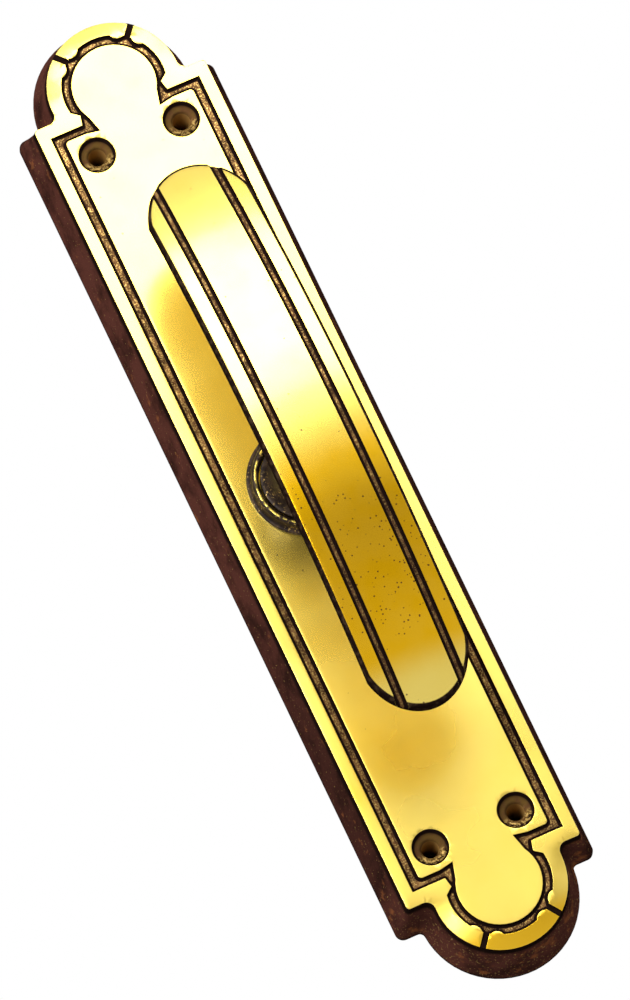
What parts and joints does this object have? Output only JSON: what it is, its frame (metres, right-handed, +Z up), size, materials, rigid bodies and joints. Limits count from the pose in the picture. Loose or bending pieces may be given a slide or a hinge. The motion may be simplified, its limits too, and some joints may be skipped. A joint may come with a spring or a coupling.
{
  "type": "cremone bolt",
  "caption": "Window cremone bolt: long bordered brass plate with lobed ends, an arched bar grip on a neck, and a rack gear behind that drives two rod studs apart.",
  "frame": {"origin": "where the spindle's axis meets the door surface, at the middle of the plate's back", "axes": "+Z up along the plate, +X right seen from the front, the front faces -Y and the door lies at +Y"},
  "size_m": [0.0452, 0.067, 0.2268],
  "materials": {
    "plate_brass": "polished cast brass, sunk lines darkened",
    "grip_brass": "polished cast brass, sunk lines darkened",
    "aged_brass": "dark antiqued brass",
    "case_steel": "zinc plated pressed steel",
    "gear_steel": "plain machined steel",
    "screw_steel": "yellow passivated steel",
    "spring_steel": "blued spring steel",
    "nylon": "natural nylon"
  },
  "bodies": {
    "root": {"escutcheon_plate": "plate_brass", "collar_ring": "aged_brass", "plate_bush": "nylon", "gear_case": "case_steel", "case_cover": "case_steel", "cover_screws": "screw_steel", "spring_pins": "gear_steel", "upper_detent_spring": "spring_steel", "lower_detent_spring": "spring_steel", "right_rack_guide": "nylon", "left_rack_guide": "nylon"},
    "handle": {"grip": "grip_brass", "neck": "aged_brass", "grub_screw": "gear_steel", "spindle": "gear_steel", "circlip": "spring_steel", "detent_cam": "gear_steel", "pinion": "gear_steel"},
    "upper_slide": {"upper_rack": "gear_steel", "upper_drive_stud": "gear_steel"},
    "lower_slide": {"lower_rack": "gear_steel", "lower_drive_stud": "gear_steel"}
  },
  "joints": [
    {"name": "handle_turn", "type": "hinge", "parent": "root", "child": "handle", "pos_m": [0, 0, 0], "axis": [0, 1, 0], "range_deg": [0, 90], "deforming": ["upper_detent_spring", "lower_detent_spring"]},
    {"name": "upper_rack_slide", "type": "slide", "parent": "root", "child": "upper_slide", "axis": [0, 0, -1], "range_m": [0, 0.0158]},
    {"name": "lower_rack_slide", "type": "slide", "parent": "root", "child": "lower_slide", "axis": [0, 0, 1], "range_m": [0, 0.0158]}
  ],
  "couplings": [
    {"joint": "upper_rack_slide", "follows": "handle_turn", "m_per_rad": 0.01},
    {"joint": "lower_rack_slide", "follows": "handle_turn", "m_per_rad": 0.01}
  ]
}
